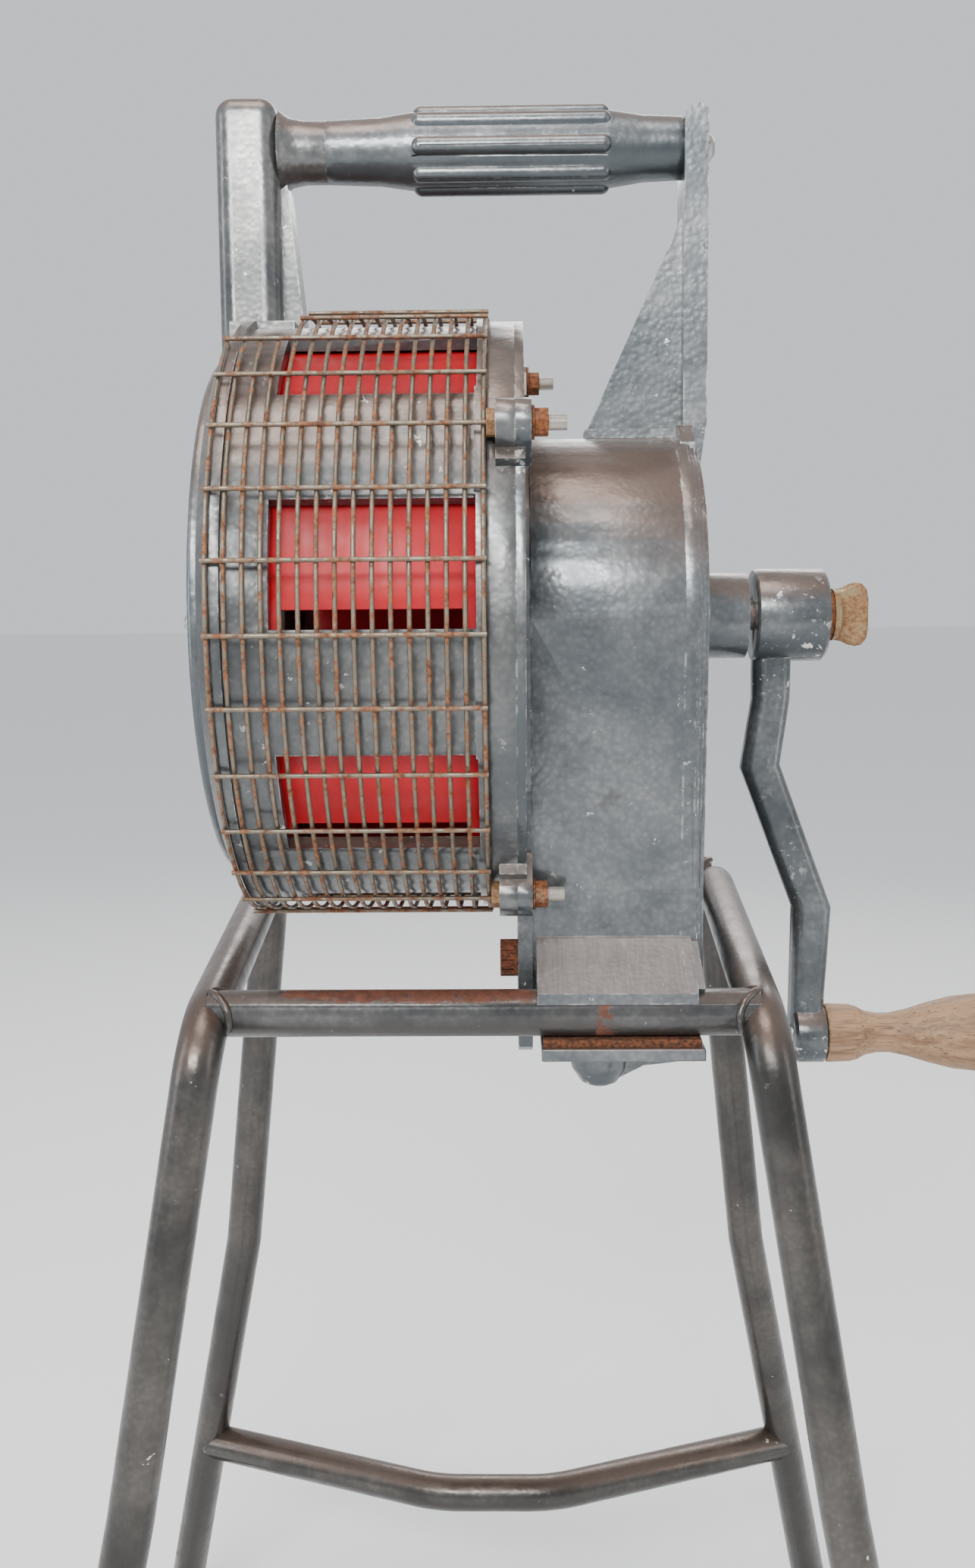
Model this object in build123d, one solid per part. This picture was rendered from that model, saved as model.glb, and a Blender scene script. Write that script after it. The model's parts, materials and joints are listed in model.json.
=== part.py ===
"""Hand-cranked warning siren on a tubular steel stand.

Design frame: X runs along the shaft towards the crank, Y away from the operator's
left side, Z up, with the shaft axis on Y = Z = 0.  Every part is moved to the part
frame (origin on the floor under the middle of the siren and stand) when it is saved.
"""
from math import acos, atan2, cos, hypot, pi, radians, sin, sqrt, tan
import os
from build123d import *

os.makedirs("parts", exist_ok=True)

# ------------------------------------------------------------------ driving sizes (mm)
AXIS_H = 800.0                 # shaft above the floor
SHIFT_X, SHIFT_Y = -30.5, -4.0   # design frame to part frame
TUBE_R, TUBE_T = 12.7, 1.6     # stand tube, 1 inch outside
WIRE = 2.5                     # guard wire diameter
GUARD_R = 176.2                # centre radius of the lengthwise guard wires
GUARD_X0, GUARD_PITCH = -138.1, 9.127
DRUM_R, DRUM_RI = 168.0, 160.5  # stator wall
PORTS = 8                      # tone ports in stator and rotor
PORT_MID, PORT_DEG = 10.0, 22.5
ROTOR_R, ROTOR_PHASE, ROTOR_LAND = 158.6, 14.0, 23.5
LUG_PCD_R, LUG_R, LUG_AT = 179.5, 12.0, 33.0
BOLT_R = 4.0                   # M8 flange bolts
CASE_R = 104.5                 # gear case arch radius and half width
CASE_X0, CASE_X1, COVER_X1 = 22.8, 105.6, 118.6
LEAN, LEAN_Z = 17.5, -150.0    # the case's front side leans in by this much down to this height
SLEEVE_R, CRANK_BOSS_R = 25.6, 27.6   # crank shaft sleeve on the cover, and the crank's hub
JOINT_X, FLANGE_X = 14.7, 19.6  # drum and back plate meet; back face of the plate's thin rim
MODULE, Z_WHEEL, Z_PINION = 1.5, 84, 14
CENTRES = MODULE * (Z_WHEEL + Z_PINION) / 2
GRIP_Z = 269.5                 # carry handle axis
CRANK_R = 258.0                # crank throw
ARM_ROUND = 7.5                # rounding of the crank arm's long edges
RAIL_F = (-117.0, -212.0)      # front rail centre (Y, Z)
RAIL_B = (160.0, -188.6)       # rear rail centre (Y, Z)
STAND_X = -4.0                 # stand's middle plane
LEG_BEND = 38.0                # bend radius of the leg tubes
CLAMP_X, CLAMP_Y = 62.7, -40.0  # clamp stud

# gear case screw bosses (Y, Z)
BOSSES = [(-73, 57), (73, 57), (-88, -45), (90, -45), (-78, -112), (90, -153)]

placed = Pos(SHIFT_X, SHIFT_Y, AXIS_H)


def save(name, shape):
    export_step(placed * shape, f"parts/{name}.step")


def xcyl(r, x0, x1, y=0.0, z=0.0):
    """Cylinder along X."""
    return Pos((x0 + x1) / 2, y, z) * Rot(0, 90, 0) * Cylinder(r, x1 - x0)


def zcyl(r, z0, z1, x=0.0, y=0.0):
    return Pos(x, y, (z0 + z1) / 2) * Cylinder(r, z1 - z0)


def xtube(ro, ri, x0, x1, y=0.0, z=0.0):
    return xcyl(ro, x0, x1, y, z) - xcyl(ri, x0 - 1, x1 + 1, y, z)


def box(x0, x1, y0, y1, z0, z1):
    return Pos((x0 + x1) / 2, (y0 + y1) / 2, (z0 + z1) / 2) * Box(x1 - x0, y1 - y0, z1 - z0)


def turned(points, y=0.0, z=0.0):
    """Solid of revolution about X from (x, r) points."""
    face = Plane.XZ * make_face(Polyline(*points, close=True))
    return Pos(0, y, z) * revolve(face, Axis.X, 360)


def plate_yz(points, x0, x1):
    """Plate in the YZ plane from (y, z) points, between x0 and x1."""
    return extrude(Plane.YZ.offset(x0) * make_face(Polyline(*points, close=True)), x1 - x0)


def plate_xz(points, y0, y1):
    """Plate in the XZ plane from (x, z) points, between y0 and y1."""
    face = Plane.XZ.offset(-y0) * make_face(Polyline(*points, close=True))
    return extrude(face, -(y1 - y0))


def ring_at(shape, r, degrees):
    """Copy a shape drawn at the origin to polar position (degrees up from the front)."""
    a = radians(degrees)
    return Pos(0, -r * cos(a), r * sin(a)) * shape


def turned_to(shape, degrees):
    """Turn a shape about the shaft from the +Z direction to an angle up from the front."""
    return Rot(-(degrees - 90), 0, 0) * shape


def hex_x(af, x0, x1, y=0.0, z=0.0):
    face = Plane.YZ.offset(x0) * RegularPolygon(af / 2, 6, major_radius=False)
    return Pos(0, y, z) * extrude(face, x1 - x0)


def wedge(r, deg, x0, x1, mid):
    """Pie slice about the shaft, used to cut ports."""
    h = radians(deg / 2)
    n = 6
    pts = [(0, 0)] + [(r * sin(-h + 2 * h * i / n), r * cos(-h + 2 * h * i / n)) for i in range(n + 1)]
    return turned_to(plate_yz(pts, x0, x1), mid)


def gear(teeth, x0, x1, bore, addendum=0.8, dedendum=1.05, backlash=0.12, phase=0.0):
    """Spur gear about X, 20 degree involute with short teeth; a tooth at +Z turned by phase."""
    m, alpha = MODULE, radians(20)
    rp, rt, rr = m * teeth / 2, m * (teeth / 2 + addendum), m * (teeth / 2 - dedendum)
    rb = rp * cos(alpha)
    half = pi / (2 * teeth) - backlash / (2 * rp)
    inv_p = tan(alpha) - alpha
    pts = []
    for k in range(teeth):
        c = 2 * pi * k / teeth + radians(phase)
        flank = []
        for i in range(5):
            r = max(rb, rr) + (rt - max(rb, rr)) * i / 4
            a = acos(min(1.0, rb / r))
            flank.append((r, half + inv_p - (tan(a) - a)))
        root = flank[0][1]
        side = [(rr, root)] + flank if rr < rb else flank
        pts += [(r * sin(c - t), r * cos(c - t)) for r, t in side]
        pts += [(r * sin(c + t), r * cos(c + t)) for r, t in reversed(side)]
    return plate_yz(pts, x0, x1) - xcyl(bore, x0 - 1, x1 + 1)


def arch(r, half, bottom, x0, x1):
    """Block between x0 and x1 with a flat bottom and a round top; its front side leans in below the shaft."""
    body = xcyl(r, x0, x1) + box(x0, x1, -half, half, bottom, 0)
    body &= box(x0, x1, -half, half, bottom, r)
    return body - plate_yz([(-half - 1, 0), (-half, 0), (-half + LEAN, LEAN_Z), (-half + LEAN, bottom - 1),
                            (-half - 1, bottom - 1)], x0, x1)


# ------------------------------------------------------------------ stand
def bent_tube(points, bends):
    """Hollow tube through points with the given inside bend radii at the middle points."""
    path = FilletPolyline(*points, radius=bends)
    start = Plane(origin=path @ 0, z_dir=path % 0)
    outer = sweep(start * Circle(TUBE_R), path=path)
    inner = sweep(start * Circle(TUBE_R - TUBE_T), path=path)
    return outer - inner


def leg_points(side):
    s = side
    return [(STAND_X + s * 247, -200, -776), (STAND_X + s * 190, -166, -475),
            (STAND_X + s * 149.5, -137, -214), (STAND_X + s * 160, 174, -187.2),
            (STAND_X + s * 190, 181, -470), (STAND_X + s * 250, 208, -776)]


def end_frame(side):
    return bent_tube(leg_points(side), LEG_BEND)


def cut_by_frames(shape):
    """Cope a cross tube to the outside of both end frames."""
    for side in (-1, 1):
        pts = FilletPolyline(*leg_points(side), radius=LEG_BEND)
        shape -= sweep(Plane(origin=pts @ 0, z_dir=pts % 0) * Circle(TUBE_R), path=pts)
    return max(shape.solids(), key=lambda s: s.volume)


left_frame, right_frame = end_frame(-1), end_frame(1)
save("stand_frame_left", left_frame)
save("stand_frame_right", right_frame)
save("front_rail", cut_by_frames(xtube(TUBE_R, TUBE_R - TUBE_T, STAND_X - 149, STAND_X + 149, *RAIL_F)))
save("rear_rail", cut_by_frames(xtube(TUBE_R, TUBE_R - TUBE_T, STAND_X - 158, STAND_X + 158, *RAIL_B)))
brace_points = [(STAND_X - 226, 197, -642), (STAND_X - 42, 126, -642),
                (STAND_X + 42, 126, -642), (STAND_X + 226, 197, -642)]
save("rear_brace", cut_by_frames(bent_tube(brace_points, 90)))

feet = []
for x, y in ((-247, -200), (247, -200), (-250, 208), (250, 208)):
    cup = zcyl(17.5, -800, -766, STAND_X + x, y) - zcyl(TUBE_R + 2.2, -790, -760, STAND_X + x, y)
    feet.append(cup)
save("rubber_feet", Compound(children=feet))

# ------------------------------------------------------------------ stator drum with handle post
drum = turned([(-146, 96), (-146, 157), (-137, DRUM_R), (0, DRUM_R), (0, 170.5), (JOINT_X, 170.5),
               (JOINT_X, DRUM_RI), (-134, DRUM_RI), (-139, 152), (-139, 96)])
for band in ((-137, -131.5), (-6, -0.5)):
    drum += xtube(GUARD_R - 1.5 * WIRE - 0.02, DRUM_R - 1, *band)
lug_foot = box(4.8, JOINT_X, -19, 19, 160, LUG_PCD_R - 4)
lug = xcyl(LUG_R, 4.8, JOINT_X, 0, LUG_PCD_R) + box(4.8, JOINT_X, -LUG_R, LUG_R, 160, LUG_PCD_R)
for k in range(4):
    drum += turned_to(lug + lug_foot, LUG_AT + 90 * k)
for k in range(PORTS):
    drum -= wedge(200, PORT_DEG, -108, -5, PORT_MID + 360 / PORTS * k) - xcyl(140, -120, 0)
for k in range(4):
    drum -= turned_to(xcyl(BOLT_R + 0.3, 0, 20, 0, LUG_PCD_R), LUG_AT + 90 * k)
drum += xtube(160, 100, -146, -139) & xtube(152, 100, -146, -139)
post = box(-155.4, -119.8, -23, 23, 150, 296)
post = fillet(post.edges().filter_by(Axis.Z) + post.faces().sort_by(Axis.Z)[-1].edges(), 10)
web = plate_xz([(-121, 150), (-121, 252), (-116, 250), (-106, 150)], -7, 17)
foot = box(-147, -110, -34, 34, 148, 169)
stub = xcyl(17.4, -125, -92.6, 0, GRIP_Z) - xcyl(4.3, -160, -90, 0, GRIP_Z)
root = turned([(-120, 0), (-120, 23), (-114, 19), (-106, 17.4), (-106, 0)], 0, GRIP_Z)
inside = xcyl(DRUM_RI, -139, 14) + xcyl(152, -140, 0) + xcyl(140, -160, 0)
post_all = (post + web + foot - inside) + stub + root - xcyl(4.3, -160, -90, 0, GRIP_Z)
post_all -= turned([(-160, 152), (-160, 130), (-146, 130), (-146, 157)])
drum += post_all - xcyl(9, -156, -149, 0, GRIP_Z)
for k in range(6):
    drum -= turned_to(xcyl(2.55, -150, -134, 0, 140), 60 * k)
save("stator_drum", drum)

# ------------------------------------------------------------------ intake ring, grille, outer guard
ring = turned([(-152, 104), (-152, 150), (-150, 151.6), (-146, 151.6), (-146, 96), (-149, 96)])
for k in range(6):
    ring -= turned_to(xcyl(2.8, -160, -140, 0, 140), 60 * k)
save("intake_ring", ring)
screws = []
for k in range(6):
    s = xcyl(2.5, -152, -136, 0, 140)
    s += turned([(-155, 0), (-155, 3), (-153.4, 4.6), (-152, 4.8), (-152, 0)], 0, 140)
    s -= box(-156, -154, -0.6, 0.6, 130, 150)
    screws.append(turned_to(s, 60 * k))
save("intake_screws", Compound(children=screws))
bars = [Pos(-144, 0, 0) * Rot(0, 90, 0) * Torus(r, WIRE / 2) for r in (24, 42, 60, 78, 93)]
bars.append(turned_to(Pos(-144 + WIRE, 0, 0) * Cylinder(WIRE / 2, 2 * 95.9), 10))
for k in (1, 2, 3):
    for z in (57, -57):
        bars.append(turned_to(Pos(-144 + WIRE, 0, z) * Cylinder(WIRE / 2, 2 * 38.9), 45 * k + 10))
save("intake_grille", Compound(children=bars))

POST_HOOPS = 4                 # hoops that stop short of the handle post
ROD_STEP, FIRST_ROD, LAST_ROD = 12.0, 58.0, 118.0   # the post stands between the last two
hoops = []
for i in range(16):
    hoop = Pos(GUARD_X0 + GUARD_PITCH * i, 0, 0) * Rot(0, 90, 0) * Torus(GUARD_R - WIRE, WIRE / 2)
    if i < POST_HOOPS:
        hoop -= wedge(200, LAST_ROD - FIRST_ROD, -160, -100, (FIRST_ROD + LAST_ROD) / 2)
    hoops.append(hoop)
rods = []
for i in range(30):
    angle = FIRST_ROD + ROD_STEP * i
    beside_post = FIRST_ROD < angle < LAST_ROD
    rods.append(ring_at(xcyl(WIRE / 2, -103.0 if beside_post else -139.8, 0.25), GUARD_R, angle))
save("outer_guard", Compound(children=hoops + rods))

# ------------------------------------------------------------------ rotor
rotor = turned([(-112, 148), (-112, ROTOR_R), (-4, ROTOR_R), (-4, 30), (-9, 24), (-9, 8.52), (-66, 8.52),
                (-66, 15), (-100, 15), (-100, 30), (-13, 32), (-10, 60), (-10, 148)])
for k in range(PORTS):
    mid = ROTOR_PHASE + 360 / PORTS * (k + 0.5)
    rotor -= wedge(190, 360 / PORTS - ROTOR_LAND, -105, -10.5, mid) - xcyl(120, -120, 0)
for k in range(PORTS):
    vane = box(-104, -8, -2, 2, 44, 150)
    rotor += turned_to(vane, ROTOR_PHASE + 360 / PORTS * k)
    rotor += turned_to(box(-96, -9, -2, 2, 26, 46), ROTOR_PHASE + 360 / PORTS * k)
rotor -= xcyl(24, -8, 0)
save("rotor", rotor)

shaft = xcyl(8.5, -66, 27.5) + xcyl(7, 27, 50) + xcyl(6, -78, -66) + xcyl(10.5, -9.0, -8.0)
save("rotor_shaft", shaft)
save("rotor_nut", xtube(10, 6.02, -69.5, -66.2) + (hex_x(19, -78, -69.5) - xcyl(6.02, -80, -60)))


def ball_bearing(x0, x1, ri, ro, balls=8):
    mid, rm = (x0 + x1) / 2, (ri + ro) / 2
    rb = (ro - ri) * 0.27
    groove = Pos(mid, 0, 0) * Rot(0, 90, 0) * Torus(rm, rb + 0.05)
    inner = xtube(ri + (ro - ri) * 0.34, ri, x0, x1) - groove
    outer = xtube(ro, ro - (ro - ri) * 0.34, x0, x1) - groove
    parts = [inner, outer]
    for k in range(balls):
        a = 2 * pi * k / balls
        parts.append(Pos(mid, rm * cos(a), rm * sin(a)) * Sphere(rb))
    return parts


BRG_F, BRG_B = (-7.5, 4.5), (8.5, 20.5)
inner_f, outer_f, *balls_f = ball_bearing(*BRG_F, 8.5, 20.0)
inner_b, outer_b, *balls_b = ball_bearing(*BRG_B, 8.5, 20.0)
save("bearing_inner_rings", Compound(children=[inner_f, inner_b]))
save("bearing_outer_rings", Compound(children=[outer_f, outer_b]))
save("bearing_balls", Compound(children=balls_f + balls_b))

# ------------------------------------------------------------------ back plate
low = [(-92, -40), (-92, -232), (-88, -240), (-80, -244), (80, -244), (88, -240), (92, -232), (92, -40)]
back = xcyl(170.5, JOINT_X, FLANGE_X) + plate_yz(low, JOINT_X, CASE_X0)
back += arch(CASE_R - 1.5, CASE_R - 1.5, -205, FLANGE_X - 1, CASE_X0)
blug = xcyl(LUG_R, JOINT_X, CASE_X0, 0, LUG_PCD_R) + box(JOINT_X, FLANGE_X, -19, 19, 160, LUG_PCD_R - 4) \
    + box(JOINT_X, CASE_X0, -LUG_R, LUG_R, 160, LUG_PCD_R)
for k in range(4):
    back += turned_to(blug, LUG_AT + 90 * k)
for k in range(4):
    back -= turned_to(xcyl(BOLT_R + 0.3, 0, 40, 0, LUG_PCD_R), LUG_AT + 90 * k)
back += xcyl(29, -3, CASE_X0) + xcyl(13, CASE_X0, 28, 0, -CENTRES)
back -= xcyl(20, -8, 20.5)
back -= xcyl(15, 0, 40)
back -= xcyl(9.0, 17.5, 40, 0, -CENTRES)
back -= xcyl(6.0, 10, 40, -75, -191.5)
for y, z in BOSSES:
    back -= xcyl(3.3, 10, 30, y, z)
save("back_plate", back)

# ------------------------------------------------------------------ gear case and rear cover
foot_side = [(-80, -165), (-87.6, -177.5), (-128.0, -199), (-128.0, -205), (-117, -205), (-100, -212),
             (-60, -212), (-60, -165)]
outline = arch(CASE_R, CASE_R, -208, CASE_X0, CASE_X1)
flare = plate_yz(foot_side, CASE_X0 + 2, CASE_X1)
case = outline + flare
case -= arch(97, 97, -198, CASE_X0 - 1, CASE_X1 + 1)
case -= xcyl(TUBE_R + 0.05, 0, 200, *RAIL_F)
for y, z in BOSSES:
    pad = xcyl(9, CASE_X0, CASE_X1, y, z) & outline
    case += pad - xcyl(3.05, CASE_X0 + 10, CASE_X1 + 1, y, z) - xcyl(3.05, CASE_X0 - 1, CASE_X0 + 25, y, z)
case += zcyl(14, -208, -186, CLAMP_X, CLAMP_Y)
case -= zcyl(6.0, -209, -189, CLAMP_X, CLAMP_Y)
for x in (45, 85):
    case -= Pos(x, 100, -165) * Rot(90, 0, 0) * Cylinder(4.0, 20)
save("gear_case", case)

edge = [(CASE_R, 0.0, 112), (CASE_R - 0.8, 0.8, 114.2), (CASE_R - 2.4, 2.4, 116.4), (CASE_R - 5, 5, COVER_X1)]
cover = arch(CASE_R, CASE_R, -208, CASE_X1, edge[0][2])
for (r, inset, x), last in zip(edge[1:], edge[:-1]):
    cover += arch(r, r, -208 + inset, last[2], x)
cover += plate_yz([(-80, -165), (-87.4, -177.6), (-128, -199), (-128, -205), (-104, -207.5), (-80, -207.5)],
                  CASE_X1, 111)
cover += plate_yz([(-80, -165), (-86, -178.5), (-124, -197.5), (-119, -205), (-104, -206.5), (-80, -206.5)],
                  110, 115)
cover -= arch(95, 95, -190, CASE_X1 - 1, CASE_X1 + 5)
for y, z in BOSSES:
    cover += xcyl(9, CASE_X1, COVER_X1 - 1, y, z) & arch(CASE_R - 1, CASE_R - 1, -206, CASE_X1, COVER_X1)
cover += xcyl(SLEEVE_R, COVER_X1 - 4, 152)
cover += turned([(110, 0), (110, 38), (118, 38), (124, 28), (130, SLEEVE_R), (130, 0)])
cover += xcyl(14, CASE_X1 - 4, 112, 0, -CENTRES)
rpost = plate_xz([(112.5, 40), (112.5, 283), (116, 288), (122, 289.5), (126.2, 286), (126.2, 112),
                  (117.9, 56), (114, 40)], -19, 19)
rpost += plate_yz([(-19, 110), (-36, 99), (-40, 60), (-19, 40), (19, 40), (40, 60), (36, 99), (19, 110)],
                  109, 117.5)
rib = plate_xz([(56, 96), (56, 106), (113, 231), (114, 231), (114, 96)], -6, 6)
rib += box(56, 113.5, -13, 13, 97, 109)
rib -= xcyl(CASE_R + 0.15, 50, CASE_X1) + xcyl(95, CASE_X1 - 1, 120)
cover += rpost - arch(95, 95, -190, 90, CASE_X1 + 5)
cover += rib
cover -= xcyl(13.0, 100, 160) + xcyl(9.0, 100, 109, 0, -CENTRES) + xcyl(4.3, 100, 130, 0, GRIP_Z)
for y, z in BOSSES:
    cover -= xcyl(3.3, CASE_X1 - 1, COVER_X1 + 1, y, z) + xcyl(6.2, COVER_X1 - 5, COVER_X1 + 1, y, z)
cover -= xcyl(TUBE_R + 0.05, 0, 200, *RAIL_F)
save("rear_cover", cover)

cap_screws = []
for y, z in BOSSES:
    s = xcyl(3.0, CASE_X1 - 20, COVER_X1 - 5, y, z) + xcyl(5.5, COVER_X1 - 5, COVER_X1 + 0.6, y, z)
    s -= hex_x(5, COVER_X1 - 3, COVER_X1 + 1, y, z)
    cap_screws.append(s)
save("cover_screws", Compound(children=cap_screws))
screw_head = [(10.4, 0), (10.4, 3.5), (12, 5.2), (JOINT_X, 5.6), (JOINT_X, 0)]
case_screws = [xcyl(3.0, 14.0, CASE_X0 + 20, y, z) + turned(screw_head, y, z) for y, z in BOSSES]
save("case_screws", Compound(children=case_screws))

# ------------------------------------------------------------------ carry handle
grip = turned([(-92.6, 0), (-92.6, 17.4), (-62, 18.6), (-44, 21.2), (70, 21.2), (90, 18.2), (112.5, 17.2),
               (112.5, 0)], 0, GRIP_Z)
RIDGES, RIDGE_R, RIDGE_AT = 8, 5.2, 19.4   # rounded finger ridges round the swell
for k in range(RIDGES):
    ridge = xcyl(RIDGE_R, -38, 66, 0, RIDGE_AT)
    ridge += Pos(-38, 0, RIDGE_AT) * Sphere(RIDGE_R) + Pos(66, 0, RIDGE_AT) * Sphere(RIDGE_R)
    grip += Pos(0, 0, GRIP_Z) * Rot(360 / RIDGES * k + 7, 0, 0) * ridge
grip -= xcyl(4.3, -100, 120, 0, GRIP_Z)
save("grip", grip)
save("grip_bolt", xcyl(4.0, -150, 126.2, 0, GRIP_Z)
     + turned([(126.2, 0), (126.2, 8), (129.5, 7), (131.5, 4), (131.5, 0)], 0, GRIP_Z))
save("grip_nut", hex_x(13, -155.3, -149.05, 0, GRIP_Z) - xcyl(4.02, -160, -140, 0, GRIP_Z))

# ------------------------------------------------------------------ gear train
crank_wheel = gear(Z_WHEEL, 70, 82, 9.0) + xtube(20, 9.0, 64, 90)
for k in range(6):
    crank_wheel -= Rot(60 * k, 0, 0) * xcyl(11.5, 60, 95, 0, 38)
save("crank_wheel", crank_wheel)
counter_pinion = gear(Z_PINION, 67, 85, 6.0, phase=180 / Z_PINION)
save("counter_pinion", Pos(0, 0, -CENTRES) * counter_pinion)
counter_wheel = gear(Z_WHEEL, 32, 44, 6.0) + xtube(15, 6.0, 30.5, 60)
for k in range(6):
    counter_wheel -= Rot(60 * k, 0, 0) * xcyl(11.5, 20, 50, 0, 38)
save("counter_wheel", Pos(0, 0, -CENTRES) * counter_wheel)
rotor_pinion = gear(Z_PINION, 30, 46, 7.0, phase=180 / Z_PINION)
save("rotor_pinion", rotor_pinion)
save("counter_shaft", xcyl(6.0, 19, 107.5, 0, -CENTRES))
save("counter_bushes", Compound(children=[
    xtube(9.0, 6.05, 17.6, 28, 0, -CENTRES), xtube(9.0, 6.05, 101.6, 109, 0, -CENTRES)]))

# ------------------------------------------------------------------ crank
crank_shaft = xcyl(9.0, 62, 196) + xcyl(11.0, 90.2, 104)
crank_shaft -= xcyl(5.05, 168, 200)
save("crank_shaft", crank_shaft)
save("crank_bush", xtube(13.0, 9.05, 105, 152.4))
left_side = [(156.5, 0), (157, -50), (150.5, -92), (183, -178), (182, -CRANK_R)]
right_side = [(203, -CRANK_R), (203.4, -234), (206.5, -178), (174, -90), (179.5, -50), (180, 0)]
arm = plate_xz(left_side + right_side, -10, 10)
arm = fillet(arm.edges().filter_by(Axis.Y, reverse=True), ARM_ROUND)
crank = arm + turned([(157.5, 0), (156.5, CRANK_BOSS_R - 1), (158, CRANK_BOSS_R), (197, CRANK_BOSS_R),
                      (199.5, CRANK_BOSS_R - 3), (199.5, 0)])
crank += turned([(184, 0), (184, 16), (186, 18), (203, 18), (204, 17), (204, 0)], 0, -CRANK_R)
crank -= xcyl(9.0, 150, 196.5) + xcyl(5.3, 190, 205) + xcyl(5.0, 150, 210, 0, -CRANK_R)
crank -= xcyl(9, 180, 187, 0, -CRANK_R)
save("crank_arm", crank)

wing = turned([(204, 0), (204, 15.5), (207.5, 14.5), (210, 9), (210, 0)])
half_blade = [(206, 15.2), (210, 16), (214, 18), (218, 19), (222, 18.2), (225, 14.5), (226, 9)]
blade = plate_xz([(x, -z) for x, z in half_blade] + half_blade[::-1], -3.4, 3.4)
wing += fillet(blade.edges().filter_by(Axis.Y, reverse=True), 2.4)
wing += xcyl(5.0, 172, 205)
save("wing_bolt", wing)
save("wing_washer", xtube(16.5, 5.3, 199.5, 202.2) + xtube(14.5, 5.3, 202.2, 204))

wood = turned([(204.4, 0), (204.4, 17.2), (206, 18), (219, 17.6), (221, 17.2), (222, 16.4), (223, 16.8),
               (229, 13.6), (236, 12.2), (244, 12.1), (255, 14.4), (268, 18.4), (283, 22.2), (298, 23.8),
               (312, 22.4), (323, 18), (329, 11), (331, 6), (331, 0)], 0, -CRANK_R)
wood -= xcyl(5.06, 200, 340, 0, -CRANK_R) + xcyl(8, 327, 340, 0, -CRANK_R)
save("crank_grip", wood)
save("grip_spindle", xcyl(5.0, 181, 329, 0, -CRANK_R)
     + turned([(327.6, 0), (327.6, 7), (330, 6.6), (332.5, 3), (332.5, 0)], 0, -CRANK_R)
     + turned([(187, 0), (187, 8), (183, 7.5), (181, 4), (181, 0)], 0, -CRANK_R))

# ------------------------------------------------------------------ flange bolts and nuts
heads, nuts, washers = [], [], []
for k in range(4):
    a = LUG_AT + 90 * k
    heads.append(turned_to(hex_x(13, 0.35, 4.8, 0, LUG_PCD_R) + xcyl(BOLT_R, 4.8, 40.5, 0, LUG_PCD_R), a))
    washer_r = 10.7 if k == 1 else 8.5      # the rear upper bolt has a wider washer
    washers.append(turned_to(xtube(washer_r, 4.3, CASE_X0, 24.4, 0, LUG_PCD_R), a))
    nuts.append(turned_to(hex_x(13, 24.4, 31.2, 0, LUG_PCD_R) - xcyl(4.02, 20, 40, 0, LUG_PCD_R), a))
save("flange_bolts", Compound(children=heads))
save("flange_washers", Compound(children=washers))
save("flange_nuts", Compound(children=nuts))
plug = xcyl(10.5, 4.7, 13.2, -75, -191.5) + xcyl(5.95, 13, 22, -75, -191.5)
for k in range(12):
    plug -= Pos(0, -75, -191.5) * Rot(30 * k, 0, 0) * box(4, 12.5, -1.2, 1.2, 9.2, 12)
plug += xtube(10.5, 5.9, 13.2, JOINT_X, -75, -191.5)
save("drain_plug", plug)

# ------------------------------------------------------------------ rear saddle and clamp
saddle_side = [(104.5, -150), (114, -150), (126, -168), (160, -172), (174, -178), (174, -188.6),
               (146, -188.6), (130, -192), (114, -200), (104.5, -200)]
saddle = plate_yz(saddle_side, 32, 112)
saddle -= xcyl(TUBE_R + 0.05, 0, 200, *RAIL_B)
for x in (45, 85):
    saddle -= Pos(x, 115, -165) * Rot(90, 0, 0) * Cylinder(4.3, 40)
    saddle -= Pos(x, 124, -165) * Rot(90, 0, 0) * Cylinder(8, 20)
save("rear_saddle", saddle)
saddle_bolts = []
for x in (45, 85):
    b = Pos(x, 104, -165) * Rot(90, 0, 0) * Cylinder(3.95, 20)
    b += Pos(x, 117, -165) * Rot(90, 0, 0) * extrude(RegularPolygon(6.5, 6, major_radius=False), 3, both=True)
    saddle_bolts.append(b)
save("saddle_bolts", Compound(children=saddle_bolts))

clamp = box(27, 115, -130, 62, -236, -229) + box(27, 115, 48, 62, -229, -208.3)
clamp += zcyl(20, -240, -236, CLAMP_X, CLAMP_Y)
clamp -= zcyl(6.6, -260, -200, CLAMP_X, CLAMP_Y)
save("clamp_plate", clamp)
save("clamp_liner", box(28, 113, -127, -96, -229, -224.75))
save("clamp_stud", zcyl(5.95, -276, -189.5, CLAMP_X, CLAMP_Y))
hub_side = Polyline((6.02, -240.1), (19, -240.1), (19, -252), (16.5, -266), (11, -274.5), (6.02, -277),
                    close=True)
hub = Pos(CLAMP_X, CLAMP_Y, 0) * revolve(Plane.XZ * make_face(hub_side), Axis.Z, 360)
lever = plate_xz([(CLAMP_X + 10, -247), (CLAMP_X + 54, -247), (CLAMP_X + 59, -250), (CLAMP_X + 59, -258),
                  (CLAMP_X + 52, -261), (CLAMP_X + 26, -264), (CLAMP_X + 10, -272)], CLAMP_Y - 7, CLAMP_Y + 7)
save("clamp_lever", hub + lever)
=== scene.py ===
"""Looks for the hand-cranked siren: materials, small details, floor, light and camera."""

import json
import math
import bpy
import bmesh
from mathutils import Matrix, Vector


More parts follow.
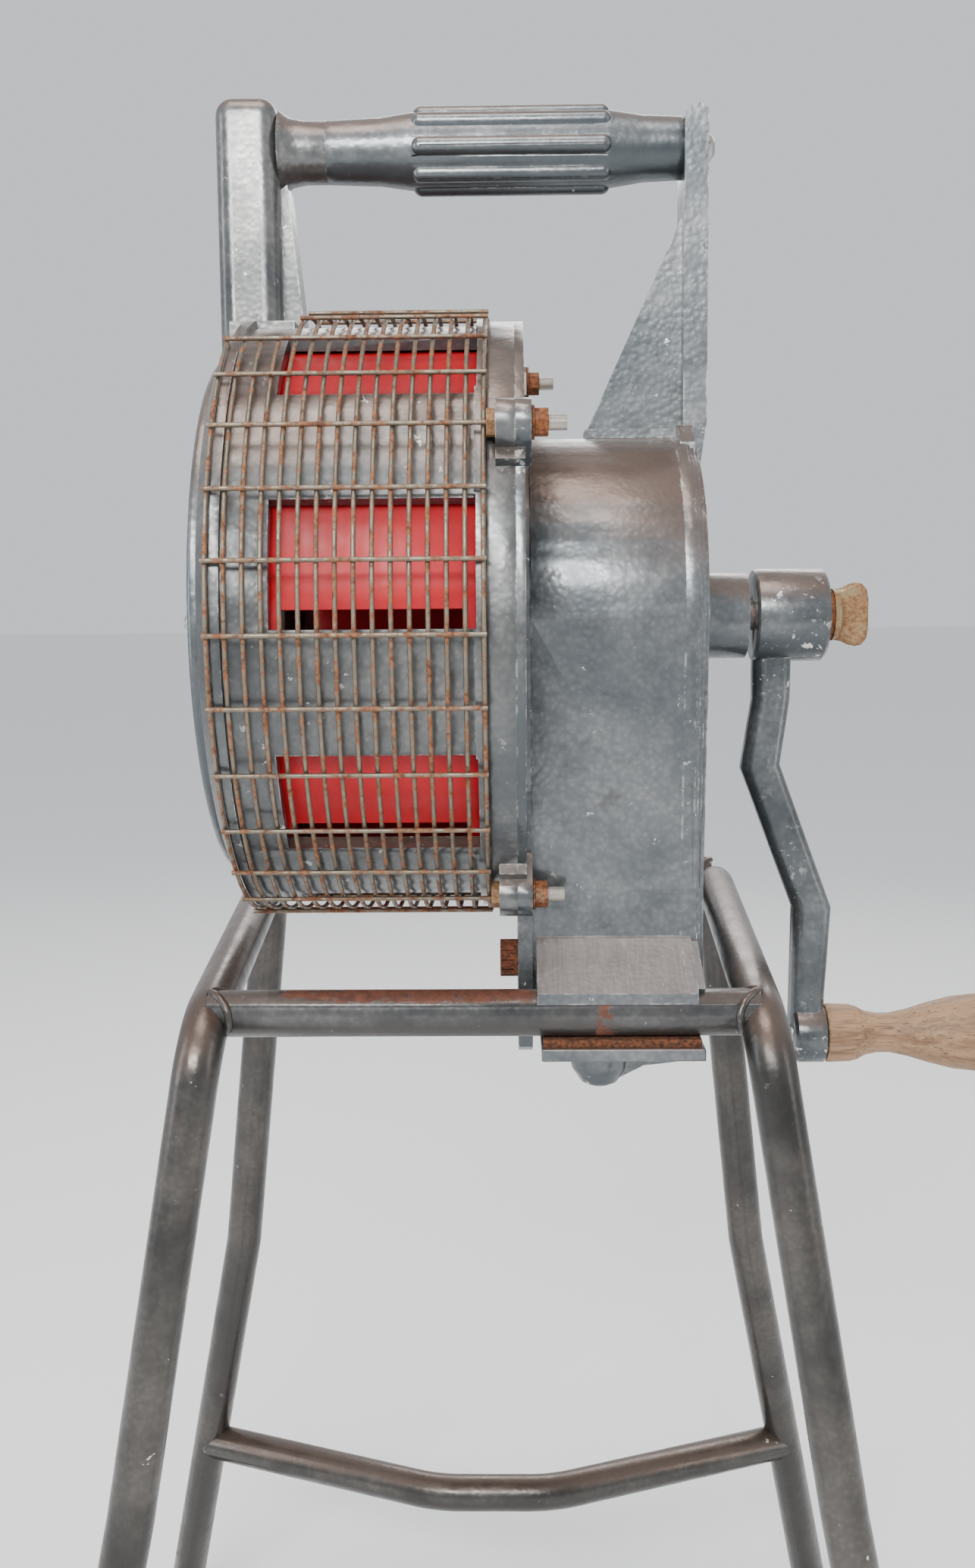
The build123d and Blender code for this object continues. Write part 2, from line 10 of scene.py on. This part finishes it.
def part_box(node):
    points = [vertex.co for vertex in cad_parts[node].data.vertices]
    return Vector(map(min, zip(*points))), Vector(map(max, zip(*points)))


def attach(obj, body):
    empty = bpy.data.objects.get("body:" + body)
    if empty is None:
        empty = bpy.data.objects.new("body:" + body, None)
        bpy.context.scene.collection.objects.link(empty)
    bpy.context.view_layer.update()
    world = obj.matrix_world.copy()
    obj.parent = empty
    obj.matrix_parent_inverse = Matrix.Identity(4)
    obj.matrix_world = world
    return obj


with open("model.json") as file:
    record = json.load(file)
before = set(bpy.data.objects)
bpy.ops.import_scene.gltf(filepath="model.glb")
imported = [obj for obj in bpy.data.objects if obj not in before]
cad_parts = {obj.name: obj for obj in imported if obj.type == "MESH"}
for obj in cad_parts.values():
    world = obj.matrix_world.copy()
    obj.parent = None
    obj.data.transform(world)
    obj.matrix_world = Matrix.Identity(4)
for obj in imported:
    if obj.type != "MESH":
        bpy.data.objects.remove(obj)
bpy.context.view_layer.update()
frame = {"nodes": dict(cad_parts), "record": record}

MM = 0.001
nodes = frame["nodes"]


# ---------------------------------------------------------------- node helpers
def add(tree, kind, inputs=None, **settings):
    """New shader node with its inputs set from values or linked from sockets."""
    n = tree.nodes.new(kind)
    for key, value in settings.items():
        setattr(n, key, value)
    for key, value in (inputs or {}).items():
        if isinstance(value, bpy.types.NodeSocket):
            tree.links.new(value, n.inputs[key])
        else:
            n.inputs[key].default_value = value
    return n


def coords(tree, stretch=(1, 1, 1)):
    """Position in the part frame, in metres, optionally stretched."""
    place = add(tree, "ShaderNodeTexCoord").outputs["Object"]
    return add(tree, "ShaderNodeMapping", {"Vector": place, "Scale": stretch}).outputs[0]


def noise(tree, at, scale, detail=3.0, rough=0.55, warp=0.0):
    """Noise value from 0 to 1; scale is in features a metre."""
    return add(tree, "ShaderNodeTexNoise", {"Vector": at, "Scale": scale, "Detail": detail,
                                            "Roughness": rough, "Distortion": warp}).outputs[0]


def step(tree, value, low, high, out_low=0.0, out_high=1.0):
    """Value mapped smoothly from low..high to out_low..out_high."""
    return add(tree, "ShaderNodeMapRange", {0: value, 1: low, 2: high, 3: out_low, 4: out_high},
               interpolation_type="SMOOTHSTEP").outputs[0]


def calc(tree, how, a, b=0.0):
    """One maths node; sums are held between 0 and 1, which suits masks."""
    return add(tree, "ShaderNodeMath", {0: a, 1: b}, operation=how, use_clamp=how == "ADD").outputs[0]


def total(tree, a, b):
    """Plain sum, not held between 0 and 1."""
    return add(tree, "ShaderNodeMath", {0: a, 1: b}, operation="ADD").outputs[0]


def mix(tree, amount, a, b):
    """Colour mix of a and b, each a colour or a socket."""
    a, b = [(*c, 1.0) if isinstance(c, tuple) else c for c in (a, b)]
    return add(tree, "ShaderNodeMix", {0: amount, 6: a, 7: b}, data_type="RGBA").outputs[2]


def bump(tree, height, strength, distance, under=None):
    """Normal with relief from height, on top of another normal if one is given."""
    inputs = {"Height": height, "Strength": strength, "Distance": distance}
    if under:
        inputs["Normal"] = under
    return add(tree, "ShaderNodeBump", inputs).outputs[0]


def finish_material(name, tree_parts):
    """Make a material whose Principled shader is fed by tree_parts(tree)."""
    m = bpy.data.materials.new(name)
    m.use_nodes = True
    tree = m.node_tree
    shader = tree.nodes["Principled BSDF"]
    for key, value in tree_parts(tree).items():
        if isinstance(value, bpy.types.NodeSocket):
            tree.links.new(value, shader.inputs[key])
        elif isinstance(value, tuple):
            shader.inputs[key].default_value = (*value, 1.0)
        else:
            shader.inputs[key].default_value = value
    return m


# ---------------------------------------------------------------- materials
RUST_DARK, RUST_LIGHT = (0.055, 0.016, 0.008), (0.27, 0.085, 0.025)
PAINT_RUST = (0.115, 0.036, 0.017)    # lighter tone of rust that comes through paint
BARE = (0.62, 0.62, 0.60)             # bare casting where the paint has chipped off
RUBBED_AND_LIT = (0.31, 0.285, 0.28)          # foot face rubbed bare, and pale also as painted light on a face that slopes up
STAIN = (0.070, 0.060, 0.052)         # cloudy dark stains in the paint
UMBER = (0.135, 0.088, 0.066)         # painted reflection: brown tint on faces that look up
SHADE = (0.050, 0.062, 0.070)         # painted shade on faces that look down; also the darker tone at the borders of the hammered dimples
STAND_SHADE = (0.040, 0.037, 0.035)   # the same on the stand: painted shade on faces that look down, and the dimple border tone


def facing_up(tree):
    """Z of the surface normal, from -1 (down) to 1 (up)."""
    normal = add(tree, "ShaderNodeNewGeometry").outputs["Normal"]
    return add(tree, "ShaderNodeSeparateXYZ", {0: normal}).outputs["Z"]


def edge_wear(tree, radius):
    """1 on sharp edges and 0 on flat faces, from the rounded normal."""
    flat = add(tree, "ShaderNodeNewGeometry").outputs["Normal"]
    soft = add(tree, "ShaderNodeBevel", {"Radius": radius}, samples=4).outputs[0]
    same = add(tree, "ShaderNodeVectorMath", {0: flat, 1: soft}, operation="DOT_PRODUCT").outputs["Value"]
    return step(tree, same, 0.985, 0.90)


def painted_reflection_and_shade(tree, at, up, brown, underside_shade_amount):
    """How much painted brown reflection and how much painted shade lie on a face, from the way it faces."""
    cloud = calc(tree, "MULTIPLY", calc(tree, "SUBTRACT", noise(tree, at, 7.0, 3.0), 0.5), 0.5)
    turned = calc(tree, "ADD", calc(tree, "MULTIPLY", up, 0.5), calc(tree, "ADD", cloud, 0.5))
    return (calc(tree, "MULTIPLY", step(tree, turned, 0.66, 0.86), brown),
            step(tree, turned, 0.50, 0.26, 0.0, underside_shade_amount))


def hammertone(name, pale, dark, chips=0.5, rust=0.0, brown=0.75, wear=0.0014, shade=SHADE, underside_shade_amount=0.85,
               extra=None):
    """Hammered metallic paint: dimples, patina, chipped bare spots, worn edges and a little rust.

    extra(tree, at, up) may return a mask for rust streaks and a mask for faces worn bare and painted as lit.
    """
    def parts(t):
        at = coords(t)
        up = facing_up(t)
        cells = add(t, "ShaderNodeTexVoronoi", {"Vector": at, "Scale": 300.0, "Smoothness": 0.7},
                    feature="SMOOTH_F1").outputs["Distance"]
        uneven = calc(t, "MULTIPLY", noise(t, at, 190.0, 2.0), 0.4)
        cells = calc(t, "ADD", calc(t, "MULTIPLY", cells, 0.75), uneven)
        colour = mix(t, step(t, noise(t, at, 14.0, 5.0, 0.65, 0.4), 0.30, 0.70), dark, pale)
        colour = mix(t, step(t, cells, 0.30, 0.72, 0.0, 0.30), colour, shade)
        top_reflection, underside_shade = painted_reflection_and_shade(t, at, up, brown, underside_shade_amount)
        # painted reflection: brown tint on faces that look up
        colour = mix(t, top_reflection, colour, UMBER)
        # painted shade: darker tone on faces that look down
        colour = mix(t, underside_shade, colour, shade)
        spots = step(t, noise(t, at, 38.0, 7.0, 0.72), 0.56, 0.70, 0.0, 0.45)
        colour = mix(t, spots, colour, STAIN)
        near = step(t, noise(t, at, 13.0, 3.0), 0.46, 0.60, 0.10, 1.0)
        edge = 0.675 - 0.05 * chips
        worn = calc(t, "MULTIPLY", step(t, noise(t, at, 105.0, 6.0, 0.66), edge, edge + 0.018), near)
        fine = step(t, noise(t, at, 330.0, 5.0, 0.7), edge + 0.035, edge + 0.05)
        worn = calc(t, "ADD", worn, calc(t, "MULTIPLY", fine, calc(t, "MULTIPLY", near, 0.8)))
        broken = step(t, noise(t, at, 60.0, 6.0, 0.75), 0.50, 0.62, 0.0, 0.7)
        rims = calc(t, "MULTIPLY", edge_wear(t, wear), broken)
        worn = calc(t, "ADD", worn, rims)
        rusty = None
        if rust:
            rust_edge = 0.70 - 0.09 * rust
            rusty = step(t, noise(t, at, 34.0, 7.0, 0.72), rust_edge, rust_edge + 0.03)
        if extra:
            streak, bare_and_lit_face = extra(t, at, up)
            if streak:
                rusty = calc(t, "ADD", rusty, streak) if rusty else streak
            if bare_and_lit_face:
                # foot face: worn bare, and pale as painted light
                colour = mix(t, bare_and_lit_face, colour, RUBBED_AND_LIT)
        colour = mix(t, worn, colour, BARE)
        metal_amount = calc(t, "SUBTRACT", 0.82, calc(t, "MULTIPLY", calc(t, "ADD", underside_shade, top_reflection), 0.25))
        rough = step(t, noise(t, at, 60.0, 4.0), 0.3, 0.7, 0.27, 0.42)
        relief = worn
        if rusty:
            tone = step(t, noise(t, at, 200.0, 5.0, 0.7), 0.32, 0.68)
            colour = mix(t, rusty, colour, mix(t, tone, RUST_DARK, PAINT_RUST))
            metal_amount = calc(t, "SUBTRACT", metal_amount, calc(t, "MULTIPLY", rusty, 0.7))
            rough = calc(t, "ADD", rough, calc(t, "MULTIPLY", rusty, 0.4))
            relief = calc(t, "ADD", worn, rusty)
        normal = bump(t, cells, 0.26, -0.0007)
        normal = bump(t, relief, 0.5, -0.00015, normal)
        return {"Base Color": colour, "Roughness": rough, "Metallic": metal_amount, "Normal": normal,
                "Coat Weight": 0.20, "Coat Roughness": 0.20}
    return finish_material(name, parts)


def band(tree, value, low, high, soft):
    """1 where value is between low and high, with edges soft metres wide."""
    return calc(tree, "MULTIPLY", step(tree, value, low, low + soft), step(tree, value, high, high - soft))


def along(tree, at, axis):
    """One coordinate of a position: axis is "X", "Y" or "Z"."""
    return add(tree, "ShaderNodeSeparateXYZ", {0: at}).outputs[axis]


def bare_and_lit_foot(tree, at, up):
    """The sloping foot face, rubbed bare and brushed, and paler as painted light where it slopes up."""
    low, high = FOOT_Z
    inside = band(tree, along(tree, at, "Z"), low, high, 0.0006)
    front = step(tree, along(tree, at, "Y"), FOOT_Y + 0.0004, FOOT_Y - 0.0004)
    # painted light: only the part that slopes up turns pale
    sloping = step(tree, up, 0.30, 0.45)
    scratch = step(tree, noise(tree, coords(tree, (1.0, 0.07, 0.07)), 800.0, 4.0), 0.3, 0.7, 0.60, 0.92)
    face = calc(tree, "MULTIPLY", inside, front)
    return None, calc(tree, "MULTIPLY", face, calc(tree, "MULTIPLY", sloping, scratch))


def rail_streaks(tree, at, up):
    """Rust along the top of the front rail, and one run down it under the foot."""
    ragged = calc(tree, "SUBTRACT", noise(tree, at, 55.0, 6.0, 0.75), 0.5)
    x = total(tree, along(tree, at, "X"), calc(tree, "MULTIPLY", ragged, 0.03))
    top = step(tree, total(tree, up, calc(tree, "MULTIPLY", ragged, 1.3)), 0.66, 0.74)
    patchy = step(tree, noise(tree, at, 75.0, 6.0, 0.72), 0.36, 0.44)
    long_run = calc(tree, "MULTIPLY", calc(tree, "MULTIPLY", band(tree, x, *TOP_RUST_X, 4 * MM), top), patchy)
    drip = calc(tree, "MULTIPLY", band(tree, x, DRIP_X - DRIP_HALF, DRIP_X + DRIP_HALF, 2 * MM),
                step(tree, noise(tree, at, 160.0, 4.0), 0.38, 0.48))
    return calc(tree, "ADD", long_run, drip), None


def red_paint():
    """Dusty red paint of the rotor."""
    def parts(t):
        at = coords(t)
        faded = step(t, noise(t, at, 16.0, 4.0), 0.3, 0.7)
        colour = mix(t, faded, (0.36, 0.002, 0.008), (0.54, 0.005, 0.014))
        dust = step(t, noise(t, at, 140.0, 6.0, 0.7), 0.60, 0.72, 0.0, 0.4)
        colour = mix(t, dust, colour, (0.20, 0.035, 0.030))
        return {"Base Color": colour, "Roughness": step(t, noise(t, at, 70.0), 0.3, 0.7, 0.40, 0.55),
                "Coat Weight": 0.15, "Coat Roughness": 0.3, "Specular IOR Level": 0.35,
                "Normal": bump(t, noise(t, at, 420.0, 2.0), 0.2, 0.0003)}
    return finish_material("rotor_red", parts)


def metal(name, pale, dark, rust, rough=(0.25, 0.45), scale=60.0, rust_pair=(RUST_DARK, RUST_LIGHT),
          bare_from_x=None):
    """Bare or plated metal with freckles of rust; rust 0 is clean and 1 is rusted all over.

    Beyond bare_from_x, a thread shows clean metal in fine turns.
    """
    def parts(t):
        at = coords(t)
        base = mix(t, noise(t, at, 180.0, 4.0), dark, pale)
        edge = 0.72 - 0.5 * rust
        rusty = step(t, noise(t, at, scale, 7.0, 0.72, 0.6), edge - 0.07, edge + 0.07)
        relief = noise(t, at, 700.0, 4.0)
        if bare_from_x is not None:
            end = step(t, along(t, at, "X"), bare_from_x, bare_from_x + 0.0006)
            rusty = calc(t, "MULTIPLY", rusty, calc(t, "SUBTRACT", 1.0, calc(t, "MULTIPLY", end, 0.8)))
            turns = add(t, "ShaderNodeTexWave", {"Vector": at, "Scale": THREAD_TURNS, "Distortion": 0.3},
                        bands_direction="X").outputs["Fac"]
            relief = calc(t, "ADD", relief, calc(t, "MULTIPLY", calc(t, "MULTIPLY", turns, end), 3.0))
        brown = mix(t, step(t, noise(t, at, 420.0, 4.0), 0.30, 0.70), *rust_pair)
        return {"Base Color": mix(t, rusty, base, brown),
                "Metallic": calc(t, "SUBTRACT", 0.90, calc(t, "MULTIPLY", rusty, 0.75)),
                "Roughness": calc(t, "ADD", step(t, noise(t, at, 240.0), 0.3, 0.7, *rough),
                                  calc(t, "MULTIPLY", rusty, 0.30)),
                "Normal": bump(t, calc(t, "ADD", relief, rusty), 0.35, 0.00025)}
    return finish_material(name, parts)


def wood():
    """Bare weathered ash with grain along X."""
    def parts(t):
        lengthwise = coords(t, (0.10, 1.0, 1.0))
        grain = noise(t, lengthwise, 260.0, 6.0, 0.62, 1.2)
        pores = noise(t, coords(t, (0.035, 1.0, 1.0)), 900.0, 3.0, 0.6)
        broad = noise(t, lengthwise, 46.0, 3.0, 0.5, 1.5)
        colour = mix(t, step(t, broad, 0.3, 0.7), (0.150, 0.078, 0.038), (0.300, 0.175, 0.092))
        colour = mix(t, step(t, grain, 0.42, 0.66, 0.0, 0.55), colour, (0.38, 0.245, 0.145))
        colour = mix(t, step(t, pores, 0.56, 0.66, 0.0, 0.85), colour, (0.075, 0.040, 0.022))
        soil = step(t, noise(t, coords(t), 30.0, 5.0, 0.7), 0.50, 0.72, 0.0, 0.45)
        colour = mix(t, soil, colour, (0.13, 0.085, 0.055))
        return {"Base Color": colour, "Roughness": step(t, grain, 0.3, 0.7, 0.50, 0.70),
                "Normal": bump(t, calc(t, "SUBTRACT", grain, pores), 0.40, 0.0004)}
    return finish_material("ash_wood", parts)


def rubber():
    """Black rubber of the feet, a little dusty."""
    def parts(t):
        at = coords(t)
        dusty = step(t, noise(t, at, 60.0, 5.0), 0.45, 0.7, 0.0, 0.6)
        colour = mix(t, dusty, (0.020, 0.020, 0.020), (0.085, 0.078, 0.070))
        return {"Base Color": colour, "Roughness": step(t, noise(t, at, 90.0), 0.3, 0.7, 0.6, 0.85),
                "Normal": bump(t, noise(t, at, 900.0, 2.0), 0.3, 0.0002)}
    return finish_material("black_rubber", parts)


case_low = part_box("gear_case")[0]
rail_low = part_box("front_rail")[0]
FOOT_Y = case_low[1] + 40.0 * MM        # where the case side turns out into the front foot
FOOT_Z = (case_low[2] + 12.5 * MM, case_low[2] + 38 * MM)       # the foot's sloping face
TOP_RUST_X = (rail_low[0] + 38 * MM, rail_low[0] + 178 * MM)    # the rusty stretch along the rail
DRIP_X = case_low[0] + 38 * MM          # middle of the run of rust down the rail
DRIP_HALF = 4 * MM                      # half its width
STUD_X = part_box("flange_nuts")[1][0]    # flange studs stand clean beyond their nuts
THREAD_TURNS = 125.0                    # wave scale of a 2.5 mm band

GREY, GREY_DARK = (0.225, 0.234, 0.240), (0.105, 0.117, 0.126)
ORANGE_RUST = ((0.060, 0.018, 0.007), (0.23, 0.075, 0.022))
TAN_RUST = ((0.13, 0.055, 0.020), (0.26, 0.150, 0.065))
looks = {
    "hammertone_paint": hammertone("hammertone_paint", GREY, GREY_DARK, chips=0.5),
    "stand_paint": hammertone("stand_paint", (0.100, 0.094, 0.087), (0.036, 0.035, 0.034), chips=-0.3,
                              rust=0.45, brown=0.6, wear=0.0006, shade=STAND_SHADE),
    "rotor_red": red_paint(),
    "zinc_wire": metal("zinc_wire", (0.27, 0.235, 0.18), (0.12, 0.10, 0.075), 0.42, (0.36, 0.52), 95.0,
                       ((0.07, 0.026, 0.012), (0.26, 0.105, 0.042))),
    "steel": metal("steel", (0.52, 0.52, 0.51), (0.34, 0.34, 0.34), 0.25),
    "rusty_steel": metal("rusty_steel", (0.36, 0.27, 0.18), (0.22, 0.15, 0.09), 0.72, (0.45, 0.6), 45.0,
                         ORANGE_RUST),
    "bronze": metal("bronze", (0.70, 0.50, 0.27), (0.52, 0.35, 0.17), 0.0),
    "ash_wood": wood(),
    "black_rubber": rubber(),
}
# oiled steel, darkened further as painted shade: the rotor nut and shaft sit inside the drum
dark_steel = metal("oiled_steel_and_painted_shade", (0.085, 0.080, 0.075), (0.030, 0.028, 0.026), 0.35)
special = {
    "gear_case": hammertone("case_paint", GREY, GREY_DARK, chips=0.2, brown=0.9, extra=bare_and_lit_foot),
    "rear_cover": hammertone("cover_paint", GREY, GREY_DARK, chips=0.75, extra=bare_and_lit_foot),
    # the drum carries less painted shade on its lower faces
    "stator_drum": hammertone("drum_paint", (0.205, 0.205, 0.200), (0.090, 0.094, 0.096), chips=0.7,
                              underside_shade_amount=0.35),
    "back_plate": hammertone("plate_paint", (0.205, 0.210, 0.212), (0.090, 0.097, 0.102), chips=0.8),
    "crank_arm": hammertone("crank_paint", (0.190, 0.200, 0.206), (0.060, 0.068, 0.074), chips=1.4),
    "front_rail": hammertone("rail_paint", (0.125, 0.125, 0.126), (0.048, 0.050, 0.052), chips=0.1, rust=0.2,
                             brown=0.5, wear=0.0006, shade=STAND_SHADE, extra=rail_streaks),
    "clamp_liner": metal("liner_rust", (0.13, 0.07, 0.04), (0.06, 0.032, 0.018), 0.80, (0.6, 0.8), 45.0,
                         ((0.030, 0.014, 0.009), (0.16, 0.055, 0.022))),
    "flange_bolts": metal("stud_metal", (0.50, 0.48, 0.44), (0.32, 0.30, 0.27), 0.70, (0.32, 0.5), 45.0,
                          TAN_RUST, bare_from_x=STUD_X),
    "wing_bolt": metal("wing_rust", (0.34, 0.26, 0.15), (0.25, 0.175, 0.095), 0.50, (0.36, 0.48), 45.0,
                       TAN_RUST),
    "drain_plug": metal("plug_rust", (0.16, 0.07, 0.035), (0.08, 0.03, 0.015), 0.95, (0.6, 0.8), 45.0,
                        ((0.040, 0.012, 0.007), (0.16, 0.05, 0.022))),
    "rotor_nut": dark_steel,
    "rotor_shaft": dark_steel,
}

slot_of = {row["node"]: row["material_slot"] for row in frame["record"]["subparts"]}
# Width of the rounded edges in metres; 0 leaves a piece as it comes.
USUAL_BEVEL = 0.0004
BEVEL = {"outer_guard": 0, "intake_grille": 0, "bearing_balls": 0, "crank_wheel": 0.0001,
         "counter_wheel": 0.0001, "rotor_pinion": 0.0001, "counter_pinion": 0.0001, "clamp_plate": 0.0010,
         "gear_case": 0.0012, "rear_cover": 0.0012, "stator_drum": 0.0010, "back_plate": 0.0010,
         "crank_arm": 0.0012, "grip": 0.0016}
BEVEL_ANGLE = math.radians(32)          # edges flatter than this stay as they are
MERGE = 0.00001                         # points closer than this are one
for name, obj in nodes.items():
    obj.data.materials.clear()
    obj.data.materials.append(special.get(name) or looks[slot_of[name]])
    for face in obj.data.polygons:
        face.material_index = 0
    width = BEVEL.get(name, USUAL_BEVEL)
    if width:
        weld = obj.modifiers.new("weld", "WELD")
        weld.merge_threshold = MERGE
        soft = obj.modifiers.new("soft_edges", "BEVEL")
        soft.width, soft.segments, soft.limit_method = width, 2, "ANGLE"
        soft.angle_limit = BEVEL_ANGLE
        soft.harden_normals = True
        soft.use_clamp_overlap = True

# ---------------------------------------------------------------- weld beads
WELD_R = 2.6 * MM
BEAD_POINTS, BEAD_SIDES = 48, 8


def bead(name, path, radius, seed):
    """Lumpy bead of weld metal along a closed ring of points."""
    count = len(path)
    mesh = bmesh.new()
    rings = []
    for i, p in enumerate(path):
        ahead_p, behind_p = path[(i + 1) % count], path[i - 1]
        forward = (ahead_p - behind_p).normalized()
        across = forward.cross(Vector((0.3, 0.5, 0.8))).normalized()
        over = forward.cross(across)
        swell = radius * (1.0 + 0.08 * math.sin(i * 1.3 + seed) + 0.05 * math.sin(i * 2.7 + 2 * seed))
        ring = []
        for k in range(BEAD_SIDES):
            a = 2 * math.pi * k / BEAD_SIDES
            ring.append(mesh.verts.new(p + swell * (math.cos(a) * across + math.sin(a) * over)))
        rings.append(ring)
    for i in range(count):
        ring, following = rings[i], rings[(i + 1) % count]
        for k in range(BEAD_SIDES):
            after = (k + 1) % BEAD_SIDES
            mesh.faces.new((ring[k], ring[after], following[after], following[k]))
    bmesh.ops.recalc_face_normals(mesh, faces=mesh.faces)
    data = bpy.data.meshes.new(name)
    mesh.to_mesh(data)
    mesh.free()
    for face in data.polygons:
        face.use_smooth = True
    piece = bpy.data.objects.new(name, data)
    bpy.context.collection.objects.link(piece)
    smooth = piece.modifiers.new("smooth", "SUBSURF")
    smooth.levels = smooth.render_levels = 1
    data.materials.append(looks["stand_paint"])
    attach(piece, "siren")


def rail_weld(name, rail, side, seed):
    """Fillet bead in the saddle where the end of a rail along X meets a tube along Y of the same size."""
    low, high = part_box(rail)
    r = (high[2] - low[2]) / 2
    y, z = (low[1] + high[1]) / 2, (low[2] + high[2]) / 2
    middle = high[0] if side > 0 else low[0]      # the coped ends reach the middle of the tube
    ring_r = r - WELD_R * 0.25                    # the bead sits a little into the rail
    points = []
    for i in range(BEAD_POINTS):
        a = 2 * math.pi * i / BEAD_POINTS
        out = r * abs(math.cos(a))                # how far along the rail the saddle comes here
        points.append(Vector((middle - side * (out - WELD_R * 0.2), y + ring_r * math.cos(a),
                              z + ring_r * math.sin(a))))
    bead(name, points, WELD_R, seed)


RAIL_ENDS = [("front_rail", -1), ("front_rail", 1), ("rear_rail", -1), ("rear_rail", 1)]
for seed, (rail, side) in enumerate(RAIL_ENDS):
    rail_weld("weld_" + rail + ("_left" if side < 0 else "_right"), rail, side, seed)

# ---------------------------------------------------------------- floor, light, camera
floor_mesh = bpy.data.meshes.new("floor")
REACH = 40.0        # half the side of the floor, in metres
corners = [(-REACH, -REACH, 0), (REACH, -REACH, 0), (REACH, REACH, 0), (-REACH, REACH, 0)]
floor_mesh.from_pydata(corners, [], [(0, 1, 2, 3)])
floor = bpy.data.objects.new("floor", floor_mesh)
bpy.context.collection.objects.link(floor)
pale = bpy.data.materials.new("pale_floor")
pale.use_nodes = True
floor_shader = pale.node_tree.nodes["Principled BSDF"]
floor_shader.inputs["Base Color"].default_value = (0.88, 0.875, 0.87, 1)
floor_shader.inputs["Roughness"].default_value = 0.9
floor_mesh.materials.append(pale)

world = bpy.data.worlds.new("studio")
bpy.context.scene.world = world
world.use_nodes = True
backdrop = world.node_tree.nodes["Background"]
backdrop.inputs["Color"].default_value = (0.86, 0.89, 0.93, 1)
backdrop.inputs["Strength"].default_value = 0.92


def area_light(name, place, size_x, size_y, power, colour):
    """Soft rectangular lamp, power in watts, turned to the siren."""
    lamp = bpy.data.lights.new(name, "AREA")
    lamp.shape, lamp.size, lamp.size_y, lamp.energy, lamp.color = "RECTANGLE", size_x, size_y, power, colour
    obj = bpy.data.objects.new(name, lamp)
    obj.location = place
    obj.rotation_euler = (SIREN_CENTRE - Vector(place)).to_track_quat("-Z", "Y").to_euler()
    bpy.context.collection.objects.link(obj)


SIREN_CENTRE = Vector((0.0, 0.0, 0.85))
area_light("key", (-0.6, -2.2, 1.9), 1.7, 0.55, 80, (1.0, 0.985, 0.96))
area_light("top", (-0.2, -0.6, 3.0), 1.4, 1.0, 34, (1.0, 0.96, 0.92))
area_light("left_fill", (-2.4, -0.5, 1.2), 0.7, 1.6, 16, (0.90, 0.95, 1.0))
area_light("right_fill", (2.3, -1.0, 1.1), 0.6, 1.4, 11, (1.0, 0.94, 0.88))
area_light("back", (0.4, 2.4, 2.2), 2.0, 1.0, 34, (1.0, 1.0, 1.0))

# The camera stands at the height of the shaft, a little above, looking slightly down.
CAMERA_AT = Vector((-0.018, -0.9236, 0.8103))
PITCH, YAW, ROLL = math.radians(6.91), math.radians(0.97), math.radians(-0.49)
LENS = 34.82
ahead = Vector((-math.sin(YAW) * math.cos(PITCH), math.cos(YAW) * math.cos(PITCH), -math.sin(PITCH)))
right = Vector((math.cos(YAW), math.sin(YAW), 0))
up = right.cross(ahead)
tilted_right = right * math.cos(ROLL) + up * math.sin(ROLL)
tilted_up = up * math.cos(ROLL) - right * math.sin(ROLL)
turn = Matrix((tilted_right, tilted_up, -ahead)).transposed()
camera = bpy.data.objects.new("camera", bpy.data.cameras.new("camera"))
camera.data.lens = LENS
camera.data.clip_start, camera.data.clip_end = 0.05, 60.0
camera.matrix_world = Matrix.Translation(CAMERA_AT) @ turn.to_4x4()
bpy.context.collection.objects.link(camera)
bpy.context.scene.camera = camera
